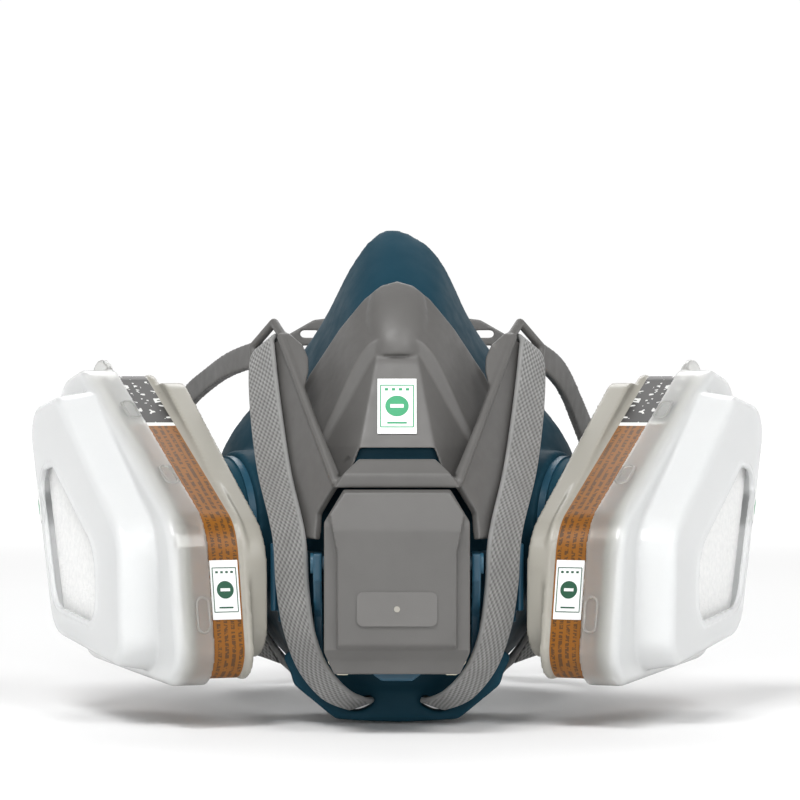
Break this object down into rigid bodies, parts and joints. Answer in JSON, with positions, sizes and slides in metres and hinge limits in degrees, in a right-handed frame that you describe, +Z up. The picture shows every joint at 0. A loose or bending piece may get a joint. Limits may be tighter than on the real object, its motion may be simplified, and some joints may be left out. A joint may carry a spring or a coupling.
{
  "type": "half-mask respirator",
  "caption": "Half-mask respirator with swept-back filter cartridges, a drop-down latch, elastic webbing and a head cradle.",
  "frame": {"origin": "middle of the opening that the face goes into, where the mask seals on the face", "axes": "+Z up, -Y to the front, +X to the wearer's left"},
  "size_m": [0.2028, 0.1787, 0.1298],
  "materials": {
    "silicone": "soft matte silicone, dark teal",
    "shell_plastic": "fine-textured moulded plastic, mid grey",
    "teal_plastic": "satin moulded plastic, teal",
    "light_plastic": "satin moulded plastic, cream",
    "cradle_plastic": "flexible moulded plastic, grey",
    "case_plastic": "satin moulded plastic, warm light grey",
    "clear_plastic": "milky translucent moulded plastic",
    "webbing": "woven elastic webbing, light grey",
    "filter_fleece": "white fibrous filter media",
    "carbon": "granular black carbon",
    "label_film": "printed film, brown and dark grey",
    "paper": "white paper sticker",
    "green_paper": "small green paper sticker",
    "valve_rubber": "thin silicone"
  },
  "bodies": {
    "facepiece": {"facepiece_seal": "silicone", "front_shell": "shell_plastic", "badge": "paper", "exhalation_valve_seat": "light_plastic", "exhalation_housing": "teal_plastic", "latch_catch": "light_plastic", "port_connector_left": "teal_plastic", "port_connector_right": "teal_plastic", "port_gasket_left": "silicone", "port_gasket_right": "silicone", "latch_bracket_left": "teal_plastic", "latch_bracket_right": "teal_plastic", "pivot_pin_left": "teal_plastic", "pivot_pin_right": "teal_plastic", "front_webbing_left": "webbing", "front_webbing_right": "webbing"},
    "latch": {"latch_cover": "shell_plastic"},
    "yoke": {"yoke": "shell_plastic", "loop_webbing_left": "webbing", "loop_webbing_right": "webbing"},
    "harness": {"head_cradle": "cradle_plastic"},
    "neck_strap": {"neck_webbing_left": "webbing", "neck_webbing_right": "webbing", "clasp_hook": "cradle_plastic", "clasp_eye": "cradle_plastic"},
    "exhalation_flap": {"exhalation_valve": "valve_rubber"},
    "cartridge_left": {"cartridge_case_left": "case_plastic", "outlet_screen_left": "case_plastic", "carbon_bed_left": "carbon", "inlet_grille_left": "case_plastic", "label_band_left": "label_film", "band_sticker_left": "paper"},
    "retainer_left": {"filter_retainer_left": "clear_plastic", "particulate_filter_left": "filter_fleece", "retainer_sticker_left": "paper"},
    "inhalation_flap_left": {"inhalation_valve_left": "valve_rubber"},
    "adjuster_left": {"neck_adjuster_left": "cradle_plastic"},
    "cartridge_right": {"cartridge_case_right": "case_plastic", "outlet_screen_right": "case_plastic", "carbon_bed_right": "carbon", "inlet_grille_right": "case_plastic", "label_band_right": "label_film", "band_sticker_right": "paper"},
    "retainer_right": {"filter_retainer_right": "clear_plastic", "particulate_filter_right": "filter_fleece", "retainer_sticker_right": "paper"},
    "inhalation_flap_right": {"inhalation_valve_right": "valve_rubber"},
    "adjuster_right": {"neck_adjuster_right": "cradle_plastic"}
  },
  "joints": [
    {"name": "latch_turn", "type": "hinge", "parent": "facepiece", "child": "latch", "pos_m": [0, -0.0585, -0.0237], "axis": [-1, 0, 0], "range_deg": [0, 65]},
    {"name": "yoke_rise", "type": "slide", "parent": "facepiece", "child": "yoke", "axis": [0, 0.3514, 0.9362], "range_m": [0, 0.01]},
    {"name": "harness_tilt", "type": "hinge", "parent": "yoke", "child": "harness", "pos_m": [0, -0.009, 0.0303], "axis": [1, 0, 0], "range_deg": [-5, 35]},
    {"name": "neck_strap_swing", "type": "hinge", "parent": "facepiece", "child": "neck_strap", "pos_m": [0, 0.004, -0.045], "axis": [1, 0, 0], "range_deg": [-40, 3]},
    {"name": "exhalation_flap_lift", "type": "slide", "parent": "facepiece", "child": "exhalation_flap", "axis": [0, -1, 0], "range_m": [0, 0.0015], "stiffness_N_per_m": 20},
    {"name": "cartridge_left_twist", "type": "hinge", "parent": "facepiece", "child": "cartridge_left", "pos_m": [0.0484, -0.0073, -0.017], "axis": [0.9205, -0.3907, 0], "range_deg": [0, 60]},
    {"name": "retainer_left_pull", "type": "slide", "parent": "cartridge_left", "child": "retainer_left", "axis": [0.9205, -0.3907, 0], "range_m": [0, 0.022]},
    {"name": "inhalation_flap_left_lift", "type": "slide", "parent": "facepiece", "child": "inhalation_flap_left", "axis": [-0.9205, 0.3907, 0], "range_m": [0, 0.0012], "stiffness_N_per_m": 20},
    {"name": "adjuster_left_slide", "type": "slide", "parent": "neck_strap", "child": "adjuster_left", "axis": [-0.7071, 0.7071, 0], "range_m": [-0.004, 0.004]},
    {"name": "cartridge_right_twist", "type": "hinge", "parent": "facepiece", "child": "cartridge_right", "pos_m": [-0.0484, -0.0073, -0.017], "axis": [-0.9205, -0.3907, 0], "range_deg": [0, 60]},
    {"name": "retainer_right_pull", "type": "slide", "parent": "cartridge_right", "child": "retainer_right", "axis": [-0.9205, -0.3907, 0], "range_m": [0, 0.022]},
    {"name": "inhalation_flap_right_lift", "type": "slide", "parent": "facepiece", "child": "inhalation_flap_right", "axis": [0.9205, 0.3907, 0], "range_m": [0, 0.0012], "stiffness_N_per_m": 20},
    {"name": "adjuster_right_slide", "type": "slide", "parent": "neck_strap", "child": "adjuster_right", "axis": [0.7071, 0.7071, 0], "range_m": [-0.004, 0.004]}
  ],
  "couplings": [
    {"joint": "latch_turn", "follows": "yoke_rise", "rad_per_m": 113.4}
  ]
}
